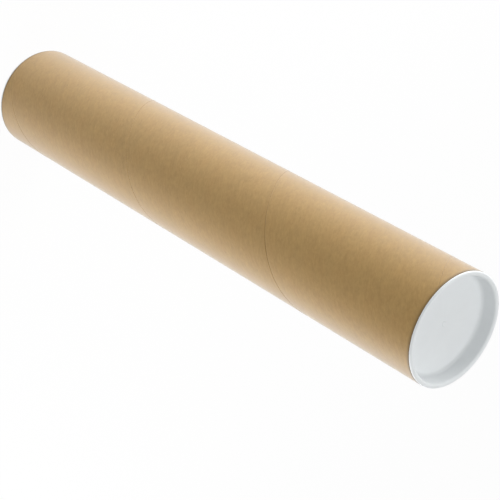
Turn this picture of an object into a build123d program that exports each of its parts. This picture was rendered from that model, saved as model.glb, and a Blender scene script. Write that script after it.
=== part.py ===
from build123d import *

import os
from math import ceil, radians, tan

# A spiral-wound kraft board mailing tube with a moulded push-in cap in each end.
# It stands on its bottom cap. The origin is at the middle of that cap's flange, on the
# surface it stands on, and +Z runs up along the tube.

# The wound board
bore_radius = 38.1
board_thickness = 2.0
tube_length = 457.2
cut_edge_break = 0.3

# The seams, where the two edges of a wound ply meet with a narrow gap.
# A drop is how far below the tube's head a seam crosses the side that faces +X.
winding_lead = 154.0
seam_width = 0.4
seam_depth = 0.25
outer_seam_drop = 105.5
liner_seam_drop = 30.0

# The caps
flange_thickness = 1.5
flange_setback = 0.1
flange_edge_bevel = 0.6
lip_bevel = 1.2
recess_depth = 10.4
recess_corner_bevel = 0.8
floor_thickness = 1.1
skirt_wall = 1.0
skirt_foot_bevel = 1.0
draft_degrees = 2.5

# The grip bead round a cap's skirt, which is what meets the bore
bead_fit = 0.06
bead_height = 0.35
bead_drop = 4.2

# The gate mark at the middle of a cap's recess
gate_radius = 1.9
gate_height = 0.35

# How far a cutting shape runs past what it cuts
overrun = 5.0

# Heights, from the surface that the tube stands on
tube_foot = flange_thickness
tube_head = tube_foot + tube_length
cap_face = tube_head + flange_thickness
tube_middle = tube_foot + tube_length / 2
recess_floor = cap_face - recess_depth
skirt_foot = recess_floor - floor_thickness
bead_middle = tube_head - bead_drop

# Radii that follow from the board and the caps' walls
outer_radius = bore_radius + board_thickness
flange_radius = outer_radius - flange_setback
skirt_radius = bore_radius - bead_fit - bead_height
recess_radius = skirt_radius - skirt_wall
draft_slope = tan(radians(draft_degrees))
skirt_foot_radius = skirt_radius - draft_slope * (tube_head - skirt_foot)
recess_foot_radius = recess_radius - draft_slope * recess_depth
bead_crest_radius = bore_radius - bead_fit
bead_flank = bead_crest_radius - recess_radius

# Tube: one wound wall, cut square at both ends, with a helical seam on each face
with BuildPart() as tube:
    with BuildSketch(Plane.XY.offset(tube_foot)):
        Circle(outer_radius)
        Circle(bore_radius, mode=Mode.SUBTRACT)
    extrude(amount=tube_length)
    chamfer(tube.edges().filter_by(GeomType.CIRCLE), cut_edge_break)
    for wall_radius, inward, seam_drop in (
        (outer_radius, -seam_depth, outer_seam_drop),
        (bore_radius, seam_depth, liner_seam_drop),
    ):
        crossing = tube_head - seam_drop
        turns_below = ceil((crossing - tube_foot + overrun) / winding_lead)
        seam_start = crossing - turns_below * winding_lead
        seam_rise = tube_head + overrun - seam_start
        with BuildLine(Plane.XY.offset(seam_start)) as seam:
            Helix(winding_lead, seam_rise, wall_radius)
        with BuildSketch(Plane(seam.line @ 0, x_dir=(1, 0, 0), z_dir=seam.line % 0)):
            Polygon((inward, 0), (-inward, seam_width), (-inward, -seam_width), align=None)
        sweep(path=seam.line, is_frenet=True, mode=Mode.SUBTRACT)

# Top cap: a turned section with a flange, a drafted cup and a grip bead, and a gate mark
with BuildPart() as top_cap:
    with BuildSketch(Plane.XZ):
        with BuildLine():
            Polyline(
                (0, recess_floor),
                (recess_foot_radius, recess_floor),
                (recess_radius, cap_face),
                (flange_radius, cap_face),
                (flange_radius, tube_head),
                (skirt_radius, tube_head),
                (skirt_foot_radius, skirt_foot),
                (0, skirt_foot),
                close=True,
            )
        make_face()
    revolve(axis=Axis.Z)
    rims = top_cap.edges().filter_by(GeomType.CIRCLE)
    face_rims = rims.group_by(Axis.Z)[-1].sort_by(SortBy.RADIUS)
    chamfer(face_rims[0], lip_bevel)
    chamfer(face_rims[-1], flange_edge_bevel)
    chamfer(rims.filter_by_position(Axis.Z, recess_floor, recess_floor), recess_corner_bevel)
    chamfer(rims.group_by(Axis.Z)[0], skirt_foot_bevel)
    with BuildSketch(Plane.XZ):
        Polygon(
            (bead_crest_radius, bead_middle),
            (recess_radius, bead_middle + bead_flank),
            (recess_radius, bead_middle - bead_flank),
            align=None,
        )
    revolve(axis=Axis.Z)
    with BuildSketch(Plane.XY.offset(recess_floor)):
        Circle(gate_radius)
    extrude(amount=gate_height)

# Bottom cap: the same moulding in the other end, facing down
with BuildPart() as bottom_cap:
    mirror(top_cap.part, about=Plane.XY.offset(tube_middle))

os.makedirs("parts", exist_ok=True)
tube.part.label = "tube"
export_step(tube.part, "parts/tube.step")
top_cap.part.label = "top_cap"
export_step(top_cap.part, "parts/top_cap.step")
bottom_cap.part.label = "bottom_cap"
export_step(bottom_cap.part, "parts/bottom_cap.step")
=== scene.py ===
from collections import namedtuple
from math import atan2, ceil, cos, floor, pi, radians, sin, tan

import bpy
from bpy.props import FloatProperty, FloatVectorProperty, IntProperty, PointerProperty
from mathutils import Matrix, Vector, noise


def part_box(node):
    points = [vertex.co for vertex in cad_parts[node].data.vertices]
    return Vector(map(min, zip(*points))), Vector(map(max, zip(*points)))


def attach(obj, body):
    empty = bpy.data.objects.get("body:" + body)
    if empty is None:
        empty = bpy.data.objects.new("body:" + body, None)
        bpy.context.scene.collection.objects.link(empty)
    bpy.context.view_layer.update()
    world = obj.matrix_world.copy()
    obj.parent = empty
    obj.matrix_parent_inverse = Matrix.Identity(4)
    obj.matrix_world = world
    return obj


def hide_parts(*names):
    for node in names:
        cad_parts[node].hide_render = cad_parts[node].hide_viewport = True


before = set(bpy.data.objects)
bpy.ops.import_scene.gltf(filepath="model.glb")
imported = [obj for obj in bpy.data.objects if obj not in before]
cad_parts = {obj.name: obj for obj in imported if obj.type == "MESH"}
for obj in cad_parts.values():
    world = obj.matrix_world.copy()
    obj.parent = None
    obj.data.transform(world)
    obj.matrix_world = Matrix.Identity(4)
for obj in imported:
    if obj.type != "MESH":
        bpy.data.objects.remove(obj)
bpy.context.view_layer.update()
tube_low, tube_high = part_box("tube")
cap_low, cap_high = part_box("top_cap")

bl_info = {
    "name": "Mailing Tube",
    "version": (1, 0, 0),
    "blender": (4, 5, 0),
    "location": "3D View > Sidebar > Mailing Tube",
    "description": "Builds a spiral-wound kraft mailing tube with a moulded cap in each end",
    "category": "Add Mesh",
}

MM = 0.001

# Heights and radii that the frame gives
FOOT = tube_low.z
HEAD = tube_high.z
OUTER_RADIUS = tube_high.x
CAP_FACE = cap_high.z
SKIRT_FOOT = cap_low.z
FLANGE_RADIUS = cap_high.x

# How finely the pieces are meshed
BOARD_COLUMNS = 288
OUTER_ROW_SPACING = 5 * MM
LINER_ROW_SPACING = 9 * MM
CAP_SEGMENTS = 224
CORNER_STEPS = 7

# A seam's section, above its gap and below it: distance from the middle of the gap in half gap
# widths, and depth in gap depths. The edge of the ply below stands proud of the one above.
ABOVE_SEAM_SHARES = (
    (0.0, 1.0), (0.5, 0.9), (1.0, 0.45), (1.5, 0.32), (3.0, 0.26), (7.0, 0.18), (16.0, 0.12)
)
BELOW_SEAM_SHARES = (
    (0.0, 1.0), (0.5, 0.85), (1.0, 0.2), (1.5, 0.02), (3.0, 0.0), (7.0, 0.05), (16.0, 0.12)
)

# The gap's width wanders by a share of itself, over a length along the seam. The last value is
# where in the noise the wander is read.
GAP_WANDER_SHARE = 0.28
GAP_WANDER_LENGTH = 14 * MM
GAP_WANDER_SLICE = 0.5

# How tight or open the seam is along its length: a mean, and two slow waves, each with its height,
# its length in turns of the seam, and its phase
SEAM_OPENNESS = 0.71
SEAM_WAVES = ((0.19, 1.48, 2.97), (0.25, 0.48, 2.69))

# The section of one ply on a cut end: place across the ply, and depth in glue line depths
PLY_END_SHARES = ((0.0, 1.0), (0.22, 0.12), (0.72, 0.0))

# The fray of a cut end: the size of its clumps, and how deep it reaches in glue line depths, at a
# line between two plies and anywhere
FRAY_CLUMP = 1.7 * MM
GLUE_LINE_LEAST_DEPTH = 0.6
GLUE_LINE_FRAY = 0.8
PLY_FRAY = 0.5

# Edges that turn by more than this stay sharp
BOARD_CRISP_ANGLE = radians(38)
CAP_CRISP_ANGLE = radians(40)

# A noise pattern on the board: repeats in a metre along and across, an offset that sets it apart
# from the others, the noise's detail and roughness, and how far it lightens and darkens the board
Pattern = namedtuple("Pattern", "along across offset detail roughness tone", defaults=(0.0,))

# Flecks in the paper: cells in a metre along and across, an offset, the share of the cells that
# hold one, the largest size in cells, and the strength
Flecks = namedtuple("Flecks", "along across offset share size strength")

# A tint: its strength, and its share of the red, green and blue of the colour that it is made from
Tint = namedtuple("Tint", "strength shares")

MEAN_NOISE = 0.5
WHITE = (1.0, 1.0, 1.0, 1.0)

# The Mix node's own numbers for its factor, its two colours and their mix
MIX_FACTOR, MIX_FIRST, MIX_SECOND, MIX_RESULT = 0, 6, 7, 2

# Kraft paper: its patterns. It is warmer where the warm pattern is past its start, and less so where
# the paper is light.
PAPER_PATTERNS = {
    "fibre": Pattern(260, 1500, 0.0, 5.0, 0.68, 0.34),
    "cloud": Pattern(130, 210, 7.0, 3.0, 0.62, 0.32),
    "streak": Pattern(24, 420, 3.0, 3.0, 0.6, 0.14),
    "drift": Pattern(11, 17, 11.0, 2.0, 0.5, 0.13),
    "mottle": Pattern(330, 560, 13.0, 3.0, 0.6, 0.36),
}
WARM_PATTERN = Pattern(60, 90, 17.0, 2.0, 0.5, 1.2)
WARM_START = 0.35
WARM_LOSS_BY_TONE = 3.0
WARM_SHARES = (1.04, 0.975, 0.92)

# Kraft paper: its flecks. A fleck is at full strength over the inner share of its radius, and has
# faded out just past its rim. How far past, and the least radius that is drawn, are in cells.
PALE_FLECKS = Flecks(150, 1100, 23.0, 0.16, 0.16, 0.22)
DARK_SHIVES = Flecks(120, 620, 31.0, 0.07, 0.17, 0.45)
DARK_SPECKS = Flecks(75, 75, 37.0, 0.16, 0.045, 0.75)
FLECK_CORE_SHARE = 0.4
FLECK_RIM = 0.001
LEAST_FLECK = 0.002
PALE_FLECK_TINT = Tint(1.0, (1.35, 1.35, 1.35))
DARK_FLECK_TINT = Tint(1.0, (0.3, 0.3, 0.3))

# Kraft paper: the pale pressed edges of a ply, with a painted highlight, and the painted shadow in its gap
# over the darker ply beneath. A span says from where to where a change runs, and then, where it is given,
# from which strength to which. The patches' span is in values of their noise, and the others here are
# distances from the middle of the seam.
PATCH_PATTERN = Pattern(45, 45, 41.0, 2.0, 0.6)
PATCH_SPAN = (0.35, 0.65, 0.25, 1.0)
PRESSED_EDGE_AND_HIGHLIGHT_START = (0.15 * MM, 0.3 * MM)
PRESSED_EDGE_AND_HIGHLIGHT_END = (1.1 * MM, 0.4 * MM)
PRESSED_EDGE_AND_HIGHLIGHT_TINT = Tint(0.3, (1.3, 1.3, 1.3))
GAP_SHADOW_AND_UNDER_PLY_SPAN = (0.5 * MM, 0.05 * MM)
GAP_SHADOW_AND_UNDER_PLY_TINT = Tint(0.4, (0.34, 0.26, 0.14))

# Kraft paper: the worn band near both cut ends, and the dark line at them, which is painted shadow where a
# cap's flange meets the board over a slightly darker cut edge; both by distance from the end
WORN_END_SPAN = (3.4 * MM, 1.6 * MM)
WORN_END_TINT = Tint(0.2, (1.25, 1.25, 1.25))
END_SHADOW_AND_CUT_EDGE_SPAN = (2.8 * MM, 0.3 * MM)
END_SHADOW_AND_CUT_EDGE_TINT = Tint(0.62, (0.3, 0.3, 0.3))

# Kraft paper: its skin
PAPER_ROUGHNESS = 0.5
PAPER_FIBRE_ROUGHNESS = 0.2
PAPER_CLOUD_ROUGHNESS = 0.12
PAPER_CLOUD_RELIEF = 0.9
DARK_FLECK_RELIEF = 0.4
PAPER_RAISED = {"Strength": 0.5, "Distance": 0.05 * MM}
PAPER_SPECULAR = 0.12
OUTER_SHEEN = 1.0
LINER_SHEEN = 0.05
SHEEN_ROUGHNESS = 0.42

# The cut board. The outer ply's and the liner's spans are shares of the wall, from its outer face.
# A glue line's span is a share of a ply, from the line, and its clarity goes by the cloud's value.
CORE_PATTERNS = {
    "fibre": Pattern(900, 5000, 0.0, 4.0, 0.7, 0.5),
    "cloud": Pattern(150, 600, 5.0, 2.0, 0.6, 0.25),
}
PLY_TONE = 0.22
OUTER_PLY_SPAN = (0.28, 0.2)
LINER_PLY_SPAN = (0.76, 0.84)
GLUE_LINE_SPAN = (0.16, 0.03)
GLUE_LINE_CLARITY = (0.3, 0.7, 0.35, 0.75)
GLUE_LINE_TINT = Tint(1.0, (0.4, 0.4, 0.4))
# The cut end's outer rim: width and tint of the painted shadow under the flange, over a slightly darker cut
# edge
FLANGE_SHADOW_AND_CUT_EDGE_WIDTH = 0.35 * MM
FLANGE_SHADOW_AND_CUT_EDGE_TINT = Tint(0.65, (0.25, 0.25, 0.25))
CUT_ROUGHNESS = 0.85
CUT_FIBRE_ROUGHNESS = 0.15
CUT_RAISED = {"Strength": 0.6, "Distance": 0.05 * MM}
CUT_SPECULAR = 0.3

# White plastic: detail, roughness and scale of each noise. The ripple and the cloud repeat that often
# in a metre. The flow marks run out from the gate, so theirs is read on a unit circle by bearing, and
# along that circle's axis by the distance from the gate in metres times the stretch.
PLASTIC_RIPPLE = (3.0, 0.6, 900.0)
PLASTIC_CLOUD = (3.0, 0.55, 60.0)
PLASTIC_FLOW = (3.0, 0.6, 5.0)
FLOW_STRETCH = 12.0
PLASTIC_CLOUD_TONE = 0.05
PLASTIC_FLOW_TONE = 0.04
PLASTIC_ROUGHNESS = 0.48
FLOW_ROUGHNESS = 0.14
PLASTIC_CLOUD_RELIEF = 2.5
PLASTIC_RAISED = {"Strength": 0.3, "Distance": 0.03 * MM}
PLASTIC_SPECULAR = 0.3

# White plastic: how much light soaks in, its shares of red, green and blue, and how deep
SOAK_WEIGHT = 0.2
SOAK_SHARES = (1.0, 1.0, 1.0)
SOAK_DEPTH = 1.5 * MM

# White plastic: its scuffs, which are thin and lie one way. They are turned by an angle in radians
# about the axis, and repeat this often in a metre along themselves and across.
SCUFF_ANGLE = 0.6
SCUFF_REPEATS = (140.0, 2600.0, 2600.0)
SCUFF_GRAIN = (2.0, 0.5)
SCUFF_SPAN = (0.66, 0.74)
SCUFF_CLOUD_SPAN = (0.5, 0.7)
SCUFF_ROUGHNESS = 0.16
SCUFF_RELIEF = 0.3

# The stage. Its lengths are in metres, but for the camera's sensor.
FLOOR_REACH = 3.0
FLOOR_CELLS = 8
FLOOR_ROUGHNESS = 0.9
TOP_LAMP_PLACE = (0, 0.15, 1.5)
TOP_LAMP_SIZE = 0.9
SENSOR_WIDTH_IN_MM = 36.0


class BoardSettings(bpy.types.PropertyGroup):
    """Sizes and colours of the wound board."""

    thickness: FloatProperty(
        name="Wall", description="Thickness of the wound board", default=2 * MM, min=0.5 * MM, unit="LENGTH"
    )
    edge_break: FloatProperty(
        name="Edge Break",
        description="Width of the worn bevel round both cut ends",
        default=0.3 * MM,
        unit="LENGTH",
    )
    winding_lead: FloatProperty(
        name="Winding Lead",
        description="Height that a ply climbs in one turn",
        default=154 * MM,
        unit="LENGTH",
    )
    seam_drop: FloatProperty(
        name="Outer Seam Drop",
        description="Distance below the head at which the outer seam crosses the +X side",
        default=105.5 * MM,
        unit="LENGTH",
    )
    liner_seam_drop: FloatProperty(
        name="Liner Seam Drop",
        description="Distance below the head at which the liner's seam crosses the +X side",
        default=30 * MM,
        unit="LENGTH",
    )
    seam_width: FloatProperty(
        name="Seam Gap",
        description="Width of the gap between the edges of a ply",
        default=0.32 * MM,
        unit="LENGTH",
    )
    seam_depth: FloatProperty(
        name="Seam Depth", description="Depth of the gap, about one ply", default=0.18 * MM, unit="LENGTH"
    )
    plies: IntProperty(
        name="Plies",
        description="Layers of paper that show on a cut end",
        default=7,
        min=2,
        max=16,
    )
    glue_line_depth: FloatProperty(
        name="Glue Line Depth",
        description="Depth of the line between two plies",
        default=0.06 * MM,
        unit="LENGTH",
    )
    paper_colour: FloatVectorProperty(
        name="Kraft Paper",
        description="Mean colour of the outer ply",
        default=(0.396, 0.247, 0.083),
        min=0.0,
        max=1.0,
        subtype="COLOR",
    )
    liner_colour: FloatVectorProperty(
        name="Liner Paper",
        description="Mean colour of the ply that lines the bore",
        default=(0.37, 0.25, 0.125),
        min=0.0,
        max=1.0,
        subtype="COLOR",
    )
    core_colour: FloatVectorProperty(
        name="Core Board",
        description="Mean colour of the plies inside the wall",
        default=(0.33, 0.235, 0.14),
        min=0.0,
        max=1.0,
        subtype="COLOR",
    )


class CapSettings(bpy.types.PropertyGroup):
    """Sizes and colour of the two moulded caps."""

    recess_depth: FloatProperty(
        name="Recess Depth",
        description="Depth of the cup in the cap's face",
        default=10.2 * MM,
        unit="LENGTH",
    )
    skirt_wall: FloatProperty(
        name="Skirt Wall", description="Wall of the cup at its mouth", default=1 * MM, unit="LENGTH"
    )
    draft: FloatProperty(
        name="Draft", description="Lean of the skirt's outside", default=radians(2.5), subtype="ANGLE"
    )
    recess_lean: FloatProperty(
        name="Recess Lean", description="Lean of the recess's wall", default=radians(7), subtype="ANGLE"
    )
    bead_fit: FloatProperty(
        name="Bead Fit",
        description="Clearance between the grip bead and the bore",
        default=0.06 * MM,
        unit="LENGTH",
    )
    bead_height: FloatProperty(
        name="Bead Height",
        description="How far the grip bead stands off the skirt",
        default=0.35 * MM,
        unit="LENGTH",
    )
    bead_drop: FloatProperty(
        name="Bead Drop",
        description="Distance of the grip bead from the flange",
        default=4.2 * MM,
        unit="LENGTH",
    )
    lip_rounding: FloatProperty(
        name="Lip Rounding",
        description="Radius where the recess meets the face",
        default=1.7 * MM,
        unit="LENGTH",
    )
    rim_rounding: FloatProperty(
        name="Rim Rounding",
        description="Radius round the flange's outer edge",
        default=1.1 * MM,
        unit="LENGTH",
    )
    recess_rounding: FloatProperty(
        name="Recess Rounding", description="Radius round the recess floor", default=2.8 * MM, unit="LENGTH"
    )
    foot_rounding: FloatProperty(
        name="Skirt Foot Rounding",
        description="Radius round the cup's closed end",
        default=1 * MM,
        unit="LENGTH",
    )
    fine_rounding: FloatProperty(
        name="Fine Rounding", description="Radius of the smallest corners", default=0.2 * MM, unit="LENGTH"
    )
    gate_radius: FloatProperty(
        name="Gate Radius",
        description="Radius of the gate mark in the recess",
        default=1.9 * MM,
        unit="LENGTH",
    )
    gate_height: FloatProperty(
        name="Gate Height", description="Height of the gate mark", default=0.35 * MM, unit="LENGTH"
    )
    plastic_colour: FloatVectorProperty(
        name="White Plastic",
        description="Colour of the moulded caps",
        default=(0.795, 0.822, 0.832),
        min=0.0,
        max=1.0,
        subtype="COLOR",
    )


class StageSettings(bpy.types.PropertyGroup):
    """The floor, the lamps and the camera."""

    floor_colour: FloatVectorProperty(
        name="Floor", description="Colour of the floor", default=(0.8, 0.8, 0.8), subtype="COLOR"
    )
    floor_glow: FloatProperty(
        name="Floor Whiteness",
        description="Share of plain white in the floor",
        default=0.96,
        subtype="FACTOR",
    )
    surround: FloatProperty(
        name="Surround",
        description="Strength of the light from all round",
        default=0.42,
        min=0.0,
    )
    right_lamp: FloatProperty(
        name="Right Lamp",
        description="Brightness of the lamp on the +X side",
        default=9.8,
    )
    low_lamp: FloatProperty(
        name="Low Lamp",
        description="Brightness of the low lamp on the -X side",
        default=6.3,
    )
    high_lamp: FloatProperty(
        name="High Lamp",
        description="Brightness of the high lamp on the -X side",
        default=6.8,
    )
    front_lamp: FloatProperty(
        name="Front Lamp",
        description="Brightness of the lamp on the -Y side",
        default=1.0,
    )
    top_lamp: FloatProperty(name="Top Lamp", description="Brightness of the lamp overhead", default=2.13)
    right_bearing: FloatProperty(
        name="Right Lamp Bearing",
        description="Angle of the right lamp from the front, toward +X",
        default=radians(104),
        subtype="ANGLE",
    )
    low_bearing: FloatProperty(
        name="Low Lamp Bearing",
        description="Angle of the low lamp from the front, toward -X",
        default=radians(84),
        subtype="ANGLE",
    )
    high_bearing: FloatProperty(
        name="High Lamp Bearing",
        description="Angle of the high lamp from the front, toward -X",
        default=radians(101),
        subtype="ANGLE",
    )
    front_bearing: FloatProperty(
        name="Front Lamp Bearing",
        description="Angle of the front lamp from the front, toward +X",
        default=radians(18),
        subtype="ANGLE",
    )
    low_height: FloatProperty(
        name="Low Lamp Height",
        description="Height of the right and low lamps over the floor",
        default=0.11,
        unit="LENGTH",
    )
    high_height: FloatProperty(
        name="High Lamp Height",
        description="Height of the high lamp over the floor",
        default=0.44,
        unit="LENGTH",
    )
    front_height: FloatProperty(
        name="Front Lamp Height",
        description="Height of the front lamp over the floor",
        default=0.272,
        unit="LENGTH",
    )
    side_length: FloatProperty(
        name="Side Lamp Length", description="Height of a side lamp's panel", default=0.35, unit="LENGTH"
    )
    front_length: FloatProperty(
        name="Front Lamp Length", description="Height of the front lamp's panel", default=0.68, unit="LENGTH"
    )
    lamp_reach: FloatProperty(
        name="Lamp Distance",
        description="Distance of the upright lamps from the axis",
        default=0.75,
        unit="LENGTH",
    )
    lamp_width: FloatProperty(
        name="Lamp Width", description="Width of an upright lamp's panel", default=0.5, unit="LENGTH"
    )
    camera_reach: FloatProperty(
        name="Camera Distance",
        description="Distance of the camera from the tube's axis",
        default=0.79415,
        unit="LENGTH",
    )
    camera_height: FloatProperty(
        name="Camera Height",
        description="Height of the camera over the floor",
        default=0.97836,
        unit="LENGTH",
    )
    camera_turn: FloatProperty(
        name="Camera Turn",
        description="Turn of the camera from +Y toward +X",
        default=radians(1.554),
        subtype="ANGLE",
    )
    camera_dip: FloatProperty(
        name="Camera Dip",
        description="Dip of the camera below the horizon",
        default=radians(41.339),
        subtype="ANGLE",
    )
    camera_roll: FloatProperty(
        name="Camera Roll",
        description="Roll of the camera about its view",
        default=radians(120.48),
        subtype="ANGLE",
    )
    camera_lens: FloatProperty(
        name="Camera Lens", description="Focal length on a 36 mm wide sensor, in millimetres", default=109.13
    )


class Surface:
    """Points and faces as they are laid, with each corner's place on the map and each face's finish."""

    def __init__(self):
        self.points = []
        self.faces = []
        self.places = []
        self.finishes = []

    def point(self, x, y, z):
        self.points.append((x, y, z))
        return len(self.points) - 1

    def round_point(self, radius, angle, height):
        return self.point(radius * cos(angle), radius * sin(angle), height)

    def face(self, corners, finish=0, turned=False):
        """Adds a face of (point, place on the map) corners, without those that fall together."""
        kept = [corner for spot, corner in enumerate(corners) if corner[0] != corners[spot - 1][0]]
        if len({corner[0] for corner in kept}) < 3:
            return
        if turned:
            kept.reverse()
        self.faces.append([corner[0] for corner in kept])
        self.places.extend(corner[1] for corner in kept)
        self.finishes.append(finish)

    def piece(self, name, finishes, crisp_angle):
        """Makes the object, smooth but for the edges that turn by more than the crisp angle."""
        mesh = bpy.data.meshes.new(name)
        mesh.from_pydata(self.points, [], self.faces)
        mesh.polygons.foreach_set("material_index", self.finishes)
        unrolled = mesh.uv_layers.new(name="unrolled")
        unrolled.uv.foreach_set("vector", [number for place in self.places for number in place])
        for finish in finishes:
            mesh.materials.append(finish)
        mesh.shade_smooth()
        mesh.set_sharp_from_angle(angle=crisp_angle)
        mesh.validate()
        made = bpy.data.objects.new(name, mesh)
        bpy.context.scene.collection.objects.link(made)
        return made


def seat(piece, body, node):
    """Puts a finished piece on its body, in the place of its solid."""
    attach(piece, body)
    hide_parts(node)


class Winding:
    """One face of the wound wall, unrolled: where its seam runs and how deep the face lies there."""

    def __init__(self, board, radius, inward, drop, spacing):
        self.radius = radius
        self.inward = inward
        self.lead = board.winding_lead
        self.crossing = HEAD - drop
        self.climb = atan2(self.lead, 2 * pi * radius)
        self.ply_width = self.lead * cos(self.climb)
        self.half_gap = board.seam_width / 2
        self.gap_depth = board.seam_depth
        self.low = FOOT + board.edge_break
        self.high = HEAD - board.edge_break
        reach = ABOVE_SEAM_SHARES[-1][0] * self.half_gap * (1 + GAP_WANDER_SHARE)
        count = ceil((self.ply_width - 2 * reach) / spacing)
        self.plain = [reach + (self.ply_width - 2 * reach) * step / count for step in range(1, count)]
        self.rows = len(ABOVE_SEAM_SHARES) + len(self.plain) + len(BELOW_SEAM_SHARES) - 1

    def half_gap_at(self, turns):
        """Half the gap's width at a place along the seam, which wanders a little."""
        along = 2 * pi * self.radius * turns / GAP_WANDER_LENGTH
        wander = 1 + GAP_WANDER_SHARE * noise.noise((along, self.radius / MM, GAP_WANDER_SLICE))
        waves = sum(high * sin(2 * pi * turns / long + phase) for high, long, phase in SEAM_WAVES)
        openness = SEAM_OPENNESS + waves
        return self.half_gap * wander * openness

    def across(self, turns, row):
        """Distance of a row from the seam below it, square to the seam."""
        if row < len(ABOVE_SEAM_SHARES):
            return ABOVE_SEAM_SHARES[row][0] * self.half_gap_at(turns)
        row -= len(ABOVE_SEAM_SHARES)
        if row < len(self.plain):
            return self.plain[row]
        row = len(BELOW_SEAM_SHARES) - 1 - (row - len(self.plain))
        return self.ply_width - BELOW_SEAM_SHARES[row][0] * self.half_gap_at(turns + 1)

    def place(self, turns, height):
        """A point's place on the unrolled ply: along it, and across it from the seam below."""
        rise = height - self.crossing - self.lead * turns
        along = 2 * pi * self.radius * turns / cos(self.climb) + rise * sin(self.climb)
        return along, rise * cos(self.climb)

    def depth(self, turns, height):
        """Depth of the face at a point, from the seam's section."""
        across = self.place(turns, height)[1]
        lower = across / self.half_gap_at(turns)
        upper = (self.ply_width - across) / self.half_gap_at(turns + 1)
        section = ABOVE_SEAM_SHARES if lower < upper else BELOW_SEAM_SHARES
        share = max(0.0, min(lower, upper))
        for (near, near_depth), (far, far_depth) in zip(section, section[1:]):
            if share <= far:
                step = (far_depth - near_depth) * (share - near) / (far - near)
                return self.gap_depth * (near_depth + step)
        return self.gap_depth * section[-1][1]

    def point(self, surface, column, height):
        """Adds the point of a column at a height. The turn is found from the height."""
        part = column / BOARD_COLUMNS
        turns = part + floor((height - self.crossing) / self.lead - part)
        radius = self.radius + self.inward * self.depth(turns, height)
        return surface.round_point(radius, 2 * pi * part, height)

    def lay(self, surface, finish, turned):
        """Lays the whole face between the worn edges, and gives its lowest and highest ring of points."""
        lowest = [self.point(surface, column, self.low) for column in range(BOARD_COLUMNS)]
        highest = [self.point(surface, column, self.high) for column in range(BOARD_COLUMNS)]
        laid = {}

        def corner(column, turn, row):
            """The point of a row, kept between the two end rings, and its place on the ply below the row."""
            strip = turn + column / BOARD_COLUMNS
            home = column % BOARD_COLUMNS
            key_turn = turn + column // BOARD_COLUMNS + row // self.rows
            key = (home, key_turn, row % self.rows)
            turns = key_turn + home / BOARD_COLUMNS
            height = self.crossing + self.lead * turns + self.across(turns, key[2]) / cos(self.climb)
            if height <= self.low:
                return lowest[home], self.place(strip, self.low)
            if height >= self.high:
                return highest[home], self.place(strip, self.high)
            if key not in laid:
                laid[key] = self.point(surface, home, height)
            return laid[key], self.place(strip, height)

        first = floor((self.low - self.crossing) / self.lead) - 1
        last = ceil((self.high - self.crossing) / self.lead)
        for turn in range(first, last + 1):
            for row in range(self.rows):
                for column in range(BOARD_COLUMNS):
                    corners = (
                        corner(column, turn, row),
                        corner(column + 1, turn, row),
                        corner(column + 1, turn, row + 1),
                        corner(column, turn, row + 1),
                    )
                    surface.face(corners, finish, turned)
        return lowest, highest


def lay_rings(surface, rings, finish, turned):
    """Joins rings of points, each with its distance along the section, into bands."""
    for (inner, inner_run), (outer, outer_run) in zip(rings, rings[1:]):
        for column in range(len(inner)):
            after = (column + 1) % len(inner)
            start = 2 * pi * OUTER_RADIUS * column / len(inner)
            end = 2 * pi * OUTER_RADIUS * (column + 1) / len(inner)
            corners = (
                (inner[column], (start, inner_run)),
                (inner[after], (end, inner_run)),
                (outer[after], (end, outer_run)),
                (outer[column], (start, outer_run)),
            )
            surface.face(corners, finish, turned)


def cut_end_rings(surface, board, height, inward, outer_ring, bore_ring):
    """The rings of a cut end, from the outer face to the bore, with a shallow line at each glue line."""
    first = OUTER_RADIUS - board.edge_break
    last = OUTER_RADIUS - board.thickness + board.edge_break
    ply = (first - last) / board.plies
    spots = [
        (first - ply * (layer + share), depth)
        for layer in range(board.plies)
        for share, depth in PLY_END_SHARES
    ]
    spots.append((last, 1.0))
    rings = [(outer_ring, 0.0)]
    for radius, share in spots:
        ring = []
        for column in range(BOARD_COLUMNS):
            angle = 2 * pi * column / BOARD_COLUMNS
            place = Vector((cos(angle), sin(angle), 0)) * radius / FRAY_CLUMP
            fray = (1 + noise.noise(place)) / 2
            line = share * (GLUE_LINE_LEAST_DEPTH + GLUE_LINE_FRAY * fray)
            depth = board.glue_line_depth * (line + PLY_FRAY * fray)
            ring.append(surface.round_point(radius, angle, height + inward * depth))
        rings.append((ring, OUTER_RADIUS - radius))
    rings.append((bore_ring, board.thickness))
    return rings


def rounded(corners):
    """Turns (radius, height, rounding) corners into points, each corner an arc that meets both its sides."""
    places = [Vector(corner[:2]) for corner in corners]
    points = [places[0]]
    for before, corner, after, (_, _, rounding) in zip(places, places[1:], places[2:], corners[1:]):
        back = (before - corner).normalized()
        on = (after - corner).normalized()
        half = back.angle(on) / 2
        reach = rounding / tan(half)
        centre = corner + (back + on).normalized() * rounding / sin(half)
        start = (corner + back * reach - centre).normalized()
        end = (corner + on * reach - centre).normalized()
        for step in range(CORNER_STEPS + 1):
            points.append(centre + start.slerp(end, step / CORNER_STEPS) * rounding)
    points.append(places[-1])
    return points


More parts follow.
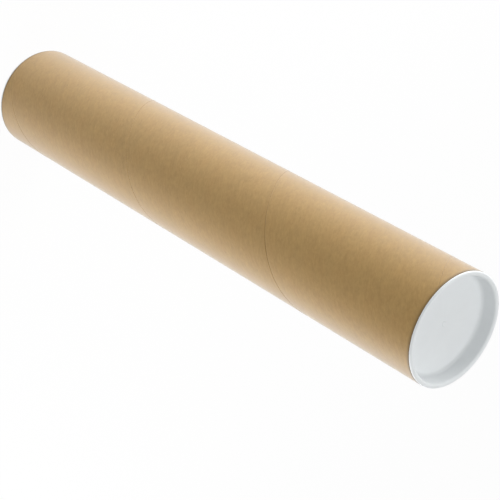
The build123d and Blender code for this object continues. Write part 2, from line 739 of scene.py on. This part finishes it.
def cap_section(cap):
    """Half a cap's section, from the middle of its recess over the flange to that of its closed end."""
    bore_radius = OUTER_RADIUS - bpy.context.scene.tube_board.thickness
    crest_radius = bore_radius - cap.bead_fit
    skirt_radius = crest_radius - cap.bead_height
    recess_radius = skirt_radius - cap.skirt_wall
    lean = tan(cap.draft)
    floor_height = CAP_FACE - cap.recess_depth
    bead_middle = HEAD - cap.bead_drop
    bead_flank = cap.bead_height + cap.bead_drop * lean
    return (
        (0, floor_height + cap.gate_height, 0),
        (cap.gate_radius - cap.gate_height, floor_height + cap.gate_height, cap.fine_rounding),
        (cap.gate_radius, floor_height, cap.fine_rounding),
        (recess_radius - cap.recess_depth * tan(cap.recess_lean), floor_height, cap.recess_rounding),
        (recess_radius, CAP_FACE, cap.lip_rounding),
        (FLANGE_RADIUS, CAP_FACE, cap.rim_rounding),
        (FLANGE_RADIUS, HEAD, cap.fine_rounding),
        (skirt_radius, HEAD, cap.fine_rounding),
        (skirt_radius - (cap.bead_drop - bead_flank) * lean, bead_middle + bead_flank, cap.fine_rounding),
        (crest_radius, bead_middle, cap.fine_rounding),
        (skirt_radius - (cap.bead_drop + bead_flank) * lean, bead_middle - bead_flank, cap.fine_rounding),
        (skirt_radius - (HEAD - SKIRT_FOOT) * lean, SKIRT_FOOT, cap.foot_rounding),
        (0, SKIRT_FOOT, 0),
    )


def turn_cap(name, section, finish, mirrored):
    """Turns a cap's section round the axis. The mirrored cap faces the other way, in the other end."""
    surface = Surface()
    rings = []
    run = 0.0
    middle = HEAD + FOOT
    before = section[0]
    for spot in section:
        run += (spot - before).length
        before = spot
        height = middle - spot.y if mirrored else spot.y
        if spot.x == 0:
            rings.append(([surface.point(0, 0, height)] * CAP_SEGMENTS, run))
        else:
            angles = [2 * pi * segment / CAP_SEGMENTS for segment in range(CAP_SEGMENTS)]
            rings.append(([surface.round_point(spot.x, angle, height) for angle in angles], run))
    lay_rings(surface, rings, 0, not mirrored)
    return surface.piece(name, [finish], CAP_CRISP_ANGLE)


def put(tree, kind, inputs=None, **options):
    """Adds a node, sets its options, and sets or links its inputs by name or number."""
    made = tree.nodes.new("ShaderNode" + kind)
    for option, value in options.items():
        setattr(made, option, value)
    for socket, value in (inputs or {}).items():
        if isinstance(value, bpy.types.NodeSocket):
            tree.links.new(value, made.inputs[socket])
        else:
            made.inputs[socket].default_value = value
    return made


def calc(tree, operation, first, second=0.0, clamped=False, third=0.0):
    """One sum on two or three numbers."""
    inputs = {0: first, 1: second, 2: third}
    return put(tree, "Math", inputs, operation=operation, use_clamp=clamped).outputs[0]


def weigh(tree, value, centre, amount):
    """How far a value is from its centre, times an amount."""
    return calc(tree, "MULTIPLY", calc(tree, "SUBTRACT", value, centre), amount)


def summed(tree, total, *others):
    """Adds up numbers, in the order given."""
    for other in others:
        total = calc(tree, "ADD", total, other)
    return total


def step_between(tree, value, start, end, low=0.0, high=1.0):
    """Goes smoothly from low to high as the value goes from start to end."""
    inputs = {"Value": value, "From Min": start, "From Max": end, "To Min": low, "To Max": high}
    return put(tree, "MapRange", inputs, interpolation_type="SMOOTHSTEP").outputs["Result"]


def stretched(tree, along, across, scale_along, scale_across, offset=0.0):
    """A place on the board, scaled apart along and across."""
    inputs = {
        "X": calc(tree, "MULTIPLY", along, scale_along),
        "Y": calc(tree, "MULTIPLY", across, scale_across),
        "Z": offset,
    }
    return put(tree, "CombineXYZ", inputs).outputs[0]


def grain(tree, place, detail, roughness, scale=1.0):
    """Soft noise from 0 to 1 at a place."""
    inputs = {"Vector": place, "Scale": scale, "Detail": detail, "Roughness": roughness}
    return put(tree, "TexNoise", inputs).outputs["Fac"]


def patterned(tree, along, across, pattern):
    """One of the board's noise patterns, from 0 to 1."""
    place = stretched(tree, along, across, pattern.along, pattern.across, pattern.offset)
    return grain(tree, place, pattern.detail, pattern.roughness)


def flecks(tree, along, across, kind):
    """Marks in a share of the paper's cells, each up to a size in cells, at the kind's strength."""
    place = stretched(tree, along, across, kind.along, kind.across, kind.offset)
    cells = put(tree, "TexVoronoi", {"Vector": place, "Scale": 1.0})
    draw = put(tree, "SeparateColor", {0: cells.outputs["Color"]}).outputs[0]
    radius = step_between(tree, draw, 1 - kind.share, 1.0, 0.0, kind.size)
    core = calc(tree, "MULTIPLY", radius, FLECK_CORE_SHARE)
    rim = calc(tree, "ADD", radius, FLECK_RIM)
    mark = step_between(tree, cells.outputs["Distance"], core, rim, 1.0, 0.0)
    mark = calc(tree, "MULTIPLY", mark, calc(tree, "GREATER_THAN", radius, LEAST_FLECK))
    return calc(tree, "MULTIPLY", mark, kind.strength)


def shaded(tree, colour, factor):
    """A colour made lighter or darker by a factor."""
    return put(tree, "VectorMath", {0: colour, "Scale": factor}, operation="SCALE").outputs[0]


def blended(tree, amount, first, second):
    """A mix of two colours."""
    inputs = {MIX_FACTOR: amount, MIX_FIRST: first, MIX_SECOND: second}
    return put(tree, "Mix", inputs, data_type="RGBA").outputs[MIX_RESULT]


def opaque(colour):
    return (*colour, 1.0)


def stained(tree, under, amount, tint, colour):
    """Mixes a tint of a colour into what lies under it, by an amount times the tint's strength."""
    stain = opaque([share * part for share, part in zip(tint.shares, colour)])
    return blended(tree, calc(tree, "MULTIPLY", amount, tint.strength), under, stain)


def new_finish(name):
    """A material with one shader joined to its output."""
    finish = bpy.data.materials.new(name)
    finish.use_nodes = True
    tree = finish.node_tree
    tree.nodes.clear()
    shader = put(tree, "BsdfPrincipled")
    put(tree, "OutputMaterial", {"Surface": shader.outputs[0]})
    return finish, tree, shader


def dress(tree, shader, colour, roughness, relief, raised, specular):
    """Gives a shader its colour, roughness and specular level, and a relief of the raised strength."""
    bump = put(tree, "Bump", {"Height": relief, **raised})
    tree.links.new(colour, shader.inputs["Base Color"])
    tree.links.new(roughness, shader.inputs["Roughness"])
    tree.links.new(bump.outputs[0], shader.inputs["Normal"])
    shader.inputs["Specular IOR Level"].default_value = specular


def board_map(tree):
    """The two distances of the unrolled board: along a ply or round the tube, and across."""
    unrolled = put(tree, "UVMap", uv_map="unrolled").outputs[0]
    parts = put(tree, "SeparateXYZ", {0: unrolled})
    return parts.outputs["X"], parts.outputs["Y"]


def paper_finish(name, winding, colour, sheen):
    """Kraft paper: fibres along the ply, clouds, flecks, a seam with painted shadow in its gap and pale
    pressed edges with a painted highlight, worn ends with a painted shadow line.
    """
    finish, tree, shader = new_finish(name)
    along, across = board_map(tree)

    marks = {kind: patterned(tree, along, across, pattern) for kind, pattern in PAPER_PATTERNS.items()}
    tones = [weigh(tree, marks[kind], MEAN_NOISE, pattern.tone) for kind, pattern in PAPER_PATTERNS.items()]
    tone = summed(tree, *tones)
    paper = shaded(tree, colour, calc(tree, "ADD", tone, 1.0))

    warm = weigh(tree, patterned(tree, along, across, WARM_PATTERN), WARM_START, WARM_PATTERN.tone)
    warm = calc(tree, "SUBTRACT", warm, calc(tree, "MULTIPLY", tone, WARM_LOSS_BY_TONE))
    warmed = put(tree, "VectorMath", {0: paper, 1: WARM_SHARES}, operation="MULTIPLY").outputs[0]
    paper = blended(tree, calc(tree, "MAXIMUM", warm, 0.0, True), paper, warmed)

    paper = stained(tree, paper, flecks(tree, along, across, PALE_FLECKS), PALE_FLECK_TINT, colour)
    shives = flecks(tree, along, across, DARK_SHIVES)
    specks = flecks(tree, along, across, DARK_SPECKS)
    dark = calc(tree, "MAXIMUM", shives, specks)
    paper = stained(tree, paper, dark, DARK_FLECK_TINT, colour)

    from_top = calc(tree, "SUBTRACT", winding.ply_width, across)
    edge = calc(tree, "MINIMUM", across, from_top)
    # Pale pressed edges along both sides of the seam, lightened further as a painted highlight
    edge_starts = step_between(tree, edge, *PRESSED_EDGE_AND_HIGHLIGHT_START)
    edge_ends = step_between(tree, edge, *PRESSED_EDGE_AND_HIGHLIGHT_END)
    patchy = step_between(tree, patterned(tree, along, across, PATCH_PATTERN), *PATCH_SPAN)
    pressed_edge_and_highlight = calc(tree, "MULTIPLY", calc(tree, "MULTIPLY", edge_starts, edge_ends), patchy)
    paper = stained(tree, paper, pressed_edge_and_highlight, PRESSED_EDGE_AND_HIGHLIGHT_TINT, colour)

    upper = calc(tree, "MULTIPLY", calc(tree, "GREATER_THAN", across, from_top), cos(winding.climb) ** 2)
    turns = calc(tree, "MULTIPLY", along, cos(winding.climb) / (2 * pi * winding.radius))
    turns = calc(tree, "ADD", turns, upper)
    openness = SEAM_OPENNESS
    for high, long, phase in SEAM_WAVES:
        wave = calc(tree, "SINE", calc(tree, "MULTIPLY_ADD", turns, 2 * pi / long, third=phase))
        openness = calc(tree, "MULTIPLY_ADD", wave, high, third=openness)
    # Painted shadow in the seam's gap, over the darker ply beneath, as strong as the seam is open
    gap = calc(tree, "MULTIPLY", step_between(tree, edge, *GAP_SHADOW_AND_UNDER_PLY_SPAN), openness)
    paper = stained(tree, paper, gap, GAP_SHADOW_AND_UNDER_PLY_TINT, colour)

    height = put(tree, "SeparateXYZ", {0: put(tree, "TexCoord").outputs["Object"]}).outputs["Z"]
    end = calc(tree, "MINIMUM", calc(tree, "SUBTRACT", height, FOOT), calc(tree, "SUBTRACT", HEAD, height))
    worn = calc(tree, "MULTIPLY", step_between(tree, end, *WORN_END_SPAN), patchy)
    paper = stained(tree, paper, worn, WORN_END_TINT, colour)
    # Painted shadow line at both ends, where a cap's flange meets the board, over a slightly darker cut edge
    paper = stained(tree, paper, step_between(tree, end, *END_SHADOW_AND_CUT_EDGE_SPAN), END_SHADOW_AND_CUT_EDGE_TINT, colour)

    roughness = summed(
        tree,
        weigh(tree, marks["fibre"], MEAN_NOISE, PAPER_FIBRE_ROUGHNESS),
        PAPER_ROUGHNESS,
        weigh(tree, marks["cloud"], MEAN_NOISE, PAPER_CLOUD_ROUGHNESS),
    )
    relief = calc(tree, "ADD", marks["fibre"], calc(tree, "MULTIPLY", marks["cloud"], PAPER_CLOUD_RELIEF))
    relief = calc(tree, "SUBTRACT", relief, calc(tree, "MULTIPLY", dark, DARK_FLECK_RELIEF))
    dress(tree, shader, paper, roughness, relief, PAPER_RAISED, PAPER_SPECULAR)
    shader.inputs["Sheen Weight"].default_value = sheen
    shader.inputs["Sheen Roughness"].default_value = SHEEN_ROUGHNESS
    return finish


def cut_board_finish(name, board):
    """The cut ends: brown outer ply and liner, greyer core, dark glue lines, raised fibres, and painted
    shadow round the outer rim.
    """
    finish, tree, shader = new_finish(name)
    round_it, inward = board_map(tree)
    ply = (board.thickness - 2 * board.edge_break) / board.plies
    layer = calc(tree, "DIVIDE", calc(tree, "SUBTRACT", inward, board.edge_break), ply)
    number = calc(tree, "FLOOR", layer)
    place = calc(tree, "FRACT", layer)
    lot = put(tree, "TexWhiteNoise", {"W": number}, noise_dimensions="1D").outputs["Value"]

    marks = {kind: patterned(tree, round_it, inward, pattern) for kind, pattern in CORE_PATTERNS.items()}
    tones = [weigh(tree, marks[kind], MEAN_NOISE, pattern.tone) for kind, pattern in CORE_PATTERNS.items()]
    tone = summed(tree, *tones, weigh(tree, lot, MEAN_NOISE, PLY_TONE))
    core = shaded(tree, tuple(board.core_colour), calc(tree, "ADD", tone, 1.0))
    face = shaded(tree, tuple(board.paper_colour), calc(tree, "ADD", tone, 1.0))
    depth_share = calc(tree, "DIVIDE", inward, board.thickness)
    outermost = step_between(tree, depth_share, *OUTER_PLY_SPAN)
    innermost = step_between(tree, depth_share, *LINER_PLY_SPAN)
    cut = blended(tree, calc(tree, "MAXIMUM", outermost, innermost), core, face)

    to_line = calc(tree, "MINIMUM", place, calc(tree, "SUBTRACT", 1.0, place))
    clarity = step_between(tree, marks["cloud"], *GLUE_LINE_CLARITY)
    line = calc(tree, "MULTIPLY", step_between(tree, to_line, *GLUE_LINE_SPAN), clarity)
    cut = stained(tree, cut, line, GLUE_LINE_TINT, board.core_colour)
    # Painted shadow under the flange's overhang, round the outer rim of the cut end, over a slightly darker
    # cut edge
    flange_shadow_and_cut_edge = step_between(tree, inward, board.edge_break + FLANGE_SHADOW_AND_CUT_EDGE_WIDTH, board.edge_break)
    cut = stained(tree, cut, flange_shadow_and_cut_edge, FLANGE_SHADOW_AND_CUT_EDGE_TINT, board.core_colour)

    fibre_roughness = weigh(tree, marks["fibre"], MEAN_NOISE, CUT_FIBRE_ROUGHNESS)
    roughness = calc(tree, "ADD", fibre_roughness, CUT_ROUGHNESS)
    dress(tree, shader, cut, roughness, marks["fibre"], CUT_RAISED, CUT_SPECULAR)
    return finish


def plastic_finish(name, colour):
    """Moulded plastic: a soft satin skin with flow marks round the gate, fine ripple and faint scuffs."""
    finish, tree, shader = new_finish(name)
    place = put(tree, "TexCoord").outputs["Object"]
    parts = put(tree, "SeparateXYZ", {0: place})
    x, y = parts.outputs["X"], parts.outputs["Y"]
    squares = calc(tree, "ADD", calc(tree, "MULTIPLY", x, x), calc(tree, "MULTIPLY", y, y))
    from_axis = calc(tree, "SQRT", squares)
    bearing = calc(tree, "ARCTAN2", y, x)
    ripple = grain(tree, place, *PLASTIC_RIPPLE)
    cloud = grain(tree, place, *PLASTIC_CLOUD)
    spoke = {
        "X": calc(tree, "COSINE", bearing),
        "Y": calc(tree, "SINE", bearing),
        "Z": calc(tree, "MULTIPLY", from_axis, FLOW_STRETCH),
    }
    flow = grain(tree, put(tree, "CombineXYZ", spoke).outputs[0], *PLASTIC_FLOW)
    cloud_tone = weigh(tree, cloud, MEAN_NOISE, PLASTIC_CLOUD_TONE)
    tone = calc(tree, "ADD", cloud_tone, weigh(tree, flow, MEAN_NOISE, PLASTIC_FLOW_TONE))
    white = shaded(tree, colour, calc(tree, "ADD", tone, 1.0))

    turning = {"Vector": place, "Angle": SCUFF_ANGLE}
    turned = put(tree, "VectorRotate", turning, rotation_type="Z_AXIS").outputs[0]
    lain = put(tree, "VectorMath", {0: turned, 1: SCUFF_REPEATS}, operation="MULTIPLY").outputs[0]
    scuff = step_between(tree, grain(tree, lain, *SCUFF_GRAIN), *SCUFF_SPAN)
    scuff = calc(tree, "MULTIPLY", scuff, step_between(tree, cloud, *SCUFF_CLOUD_SPAN))

    roughness = summed(
        tree,
        weigh(tree, flow, MEAN_NOISE, FLOW_ROUGHNESS),
        PLASTIC_ROUGHNESS,
        calc(tree, "MULTIPLY", scuff, SCUFF_ROUGHNESS),
    )
    relief = calc(tree, "ADD", ripple, calc(tree, "MULTIPLY", cloud, PLASTIC_CLOUD_RELIEF))
    relief = calc(tree, "SUBTRACT", relief, calc(tree, "MULTIPLY", scuff, SCUFF_RELIEF))
    dress(tree, shader, white, roughness, relief, PLASTIC_RAISED, PLASTIC_SPECULAR)
    shader.inputs["Subsurface Weight"].default_value = SOAK_WEIGHT
    shader.inputs["Subsurface Radius"].default_value = SOAK_SHARES
    shader.inputs["Subsurface Scale"].default_value = SOAK_DEPTH
    return finish


def seen_plainly(tree):
    """One where the eye or a reflection looks, and nought where light is only gathered."""
    path = put(tree, "LightPath").outputs
    seen = calc(tree, "ADD", path["Is Camera Ray"], path["Is Glossy Ray"], True)
    return calc(tree, "ADD", seen, path["Is Transmission Ray"], True)


def floor_finish(stage):
    """A pale floor that looks white and keeps a soft shadow."""
    finish, tree, shader = new_finish("pale_floor")
    shader.inputs["Base Color"].default_value = opaque(stage.floor_colour)
    shader.inputs["Roughness"].default_value = FLOOR_ROUGHNESS
    glow = put(tree, "Emission", {"Color": WHITE, "Strength": 1.0})
    share = calc(tree, "MULTIPLY", seen_plainly(tree), stage.floor_glow)
    both = put(tree, "MixShader", {0: share, 1: shader.outputs[0], 2: glow.outputs[0]})
    output = next(node for node in tree.nodes if node.type == "OUTPUT_MATERIAL")
    tree.links.new(both.outputs[0], output.inputs["Surface"])
    return finish


def make_floor(stage):
    """A wide flat floor under the tube."""
    surface = Surface()
    marks = [FLOOR_REACH * (2 * step / FLOOR_CELLS - 1) for step in range(FLOOR_CELLS + 1)]
    rows = [[surface.point(x, y, 0) for x in marks] for y in marks]
    for row in range(FLOOR_CELLS):
        for column in range(FLOOR_CELLS):
            near, far = rows[row], rows[row + 1]
            spots = (near[column], near[column + 1], far[column + 1], far[column])
            surface.face([(spot, surface.points[spot][:2]) for spot in spots])
    surface.piece("floor", [floor_finish(stage)], pi)


def make_lamp(name, place, target, width, height, brightness):
    """A soft panel lamp that looks as bright as its brightness, where one is white."""
    lamp = bpy.data.lights.new(name, "AREA")
    lamp.shape = "RECTANGLE"
    lamp.size = width
    lamp.size_y = height
    lamp.energy = pi * width * height * brightness
    made = bpy.data.objects.new(name, lamp)
    made.location = place
    made.rotation_euler = (Vector(target) - Vector(place)).to_track_quat("-Z", "Y").to_euler()
    bpy.context.scene.collection.objects.link(made)
    return made


def make_world(stage):
    """Plain white where it is seen, and a softer light on the object."""
    world = bpy.data.worlds.new("studio")
    world.use_nodes = True
    tree = world.node_tree
    tree.nodes.clear()
    soft = put(tree, "Background", {"Color": WHITE, "Strength": stage.surround})
    white = put(tree, "Background", {"Color": WHITE, "Strength": 1.0})
    both = put(tree, "MixShader", {0: seen_plainly(tree), 1: soft.outputs[0], 2: white.outputs[0]})
    put(tree, "OutputWorld", {"Surface": both.outputs[0]})
    bpy.context.scene.world = world


def make_camera(stage):
    """The camera, in front of the tube and above it, rolled on its side."""
    sight = bpy.data.cameras.new("camera")
    sight.sensor_width = SENSOR_WIDTH_IN_MM
    sight.lens = stage.camera_lens
    made = bpy.data.objects.new("camera", sight)
    made.location = (0, -stage.camera_reach, stage.camera_height)
    turn = Matrix.Rotation(-stage.camera_turn, 3, "Z")
    dip = Matrix.Rotation(pi / 2 - stage.camera_dip, 3, "X")
    roll = Matrix.Rotation(stage.camera_roll, 3, "Z")
    made.rotation_euler = (turn @ dip @ roll).to_euler()
    bpy.context.scene.collection.objects.link(made)
    bpy.context.scene.camera = made


class OBJECT_OT_wind_board(bpy.types.Operator):
    """Winds the kraft board tube with its seams and its cut ends"""

    bl_idname = "object.wind_board"
    bl_label = "Wind Board"

    def execute(self, context):
        board = context.scene.tube_board
        surface = Surface()
        outer = Winding(board, OUTER_RADIUS, -1, board.seam_drop, OUTER_ROW_SPACING)
        liner = Winding(board, OUTER_RADIUS - board.thickness, 1, board.liner_seam_drop, LINER_ROW_SPACING)
        outer_foot, outer_head = outer.lay(surface, 0, False)
        bore_foot, bore_head = liner.lay(surface, 1, True)
        head_rings = cut_end_rings(surface, board, HEAD, -1, outer_head, bore_head)
        foot_rings = cut_end_rings(surface, board, FOOT, 1, outer_foot, bore_foot)
        lay_rings(surface, head_rings, 2, False)
        lay_rings(surface, foot_rings, 2, True)
        finishes = [
            paper_finish("kraft_outer_ply", outer, tuple(board.paper_colour), OUTER_SHEEN),
            paper_finish("kraft_liner", liner, tuple(board.liner_colour), LINER_SHEEN),
            cut_board_finish("cut_board", board),
        ]
        piece = surface.piece("wound_board", finishes, BOARD_CRISP_ANGLE)
        seat(piece, "tube", "tube")
        return {"FINISHED"}


class OBJECT_OT_mould_caps(bpy.types.Operator):
    """Moulds the two caps and seats one in each end of the tube"""

    bl_idname = "object.mould_caps"
    bl_label = "Mould Caps"

    def execute(self, context):
        cap = context.scene.tube_cap
        section = rounded(cap_section(cap))
        finish = plastic_finish("white_plastic", tuple(cap.plastic_colour))
        for node, mirrored in (("top_cap", False), ("bottom_cap", True)):
            piece = turn_cap("moulded_" + node, section, finish, mirrored)
            seat(piece, node, node)
        return {"FINISHED"}


class OBJECT_OT_set_tube_stage(bpy.types.Operator):
    """Sets the floor, the lamps, the surround and the camera"""

    bl_idname = "object.set_tube_stage"
    bl_label = "Set Stage"

    def execute(self, context):
        stage = context.scene.tube_stage
        context.scene.view_settings.view_transform = "Standard"
        make_floor(stage)
        make_world(stage)
        make_camera(stage)
        middle = (0, 0, HEAD / 2)
        for name, bearing, height, length, brightness in (
            ("right_lamp", stage.right_bearing, stage.low_height, stage.side_length, stage.right_lamp),
            ("low_lamp", -stage.low_bearing, stage.low_height, stage.side_length, stage.low_lamp),
            ("high_lamp", -stage.high_bearing, stage.high_height, stage.side_length, stage.high_lamp),
            ("front_lamp", stage.front_bearing, stage.front_height, stage.front_length, stage.front_lamp),
        ):
            place = (stage.lamp_reach * sin(bearing), -stage.lamp_reach * cos(bearing), height)
            make_lamp(name, place, middle, stage.lamp_width, length, brightness)
        make_lamp("top_lamp", TOP_LAMP_PLACE, middle, TOP_LAMP_SIZE, TOP_LAMP_SIZE, stage.top_lamp)
        return {"FINISHED"}


class VIEW3D_PT_mailing_tube(bpy.types.Panel):
    """Lists the tube's settings and the steps that build it"""

    bl_label = "Mailing Tube"
    bl_space_type = "VIEW_3D"
    bl_region_type = "UI"
    bl_category = "Mailing Tube"

    def draw(self, context):
        for title, settings, step in SECTIONS:
            group = getattr(context.scene, settings)
            box = self.layout.box()
            box.label(text=title)
            for setting in group.bl_rna.properties.keys():
                if setting not in ("rna_type", "name"):
                    box.prop(group, setting)
            box.operator(step.bl_idname)


SECTIONS = (
    ("Wound Board", "tube_board", OBJECT_OT_wind_board),
    ("Caps", "tube_cap", OBJECT_OT_mould_caps),
    ("Stage", "tube_stage", OBJECT_OT_set_tube_stage),
)

CLASSES = (
    BoardSettings,
    CapSettings,
    StageSettings,
    OBJECT_OT_wind_board,
    OBJECT_OT_mould_caps,
    OBJECT_OT_set_tube_stage,
    VIEW3D_PT_mailing_tube,
)


def register():
    for entry in CLASSES:
        bpy.utils.register_class(entry)
    bpy.types.Scene.tube_board = PointerProperty(type=BoardSettings)
    bpy.types.Scene.tube_cap = PointerProperty(type=CapSettings)
    bpy.types.Scene.tube_stage = PointerProperty(type=StageSettings)


def unregister():
    del bpy.types.Scene.tube_stage
    del bpy.types.Scene.tube_cap
    del bpy.types.Scene.tube_board
    for entry in reversed(CLASSES):
        bpy.utils.unregister_class(entry)


def main():
    register()
    bpy.ops.object.wind_board()
    bpy.ops.object.mould_caps()
    bpy.ops.object.set_tube_stage()


if __name__ == "__main__":
    main()
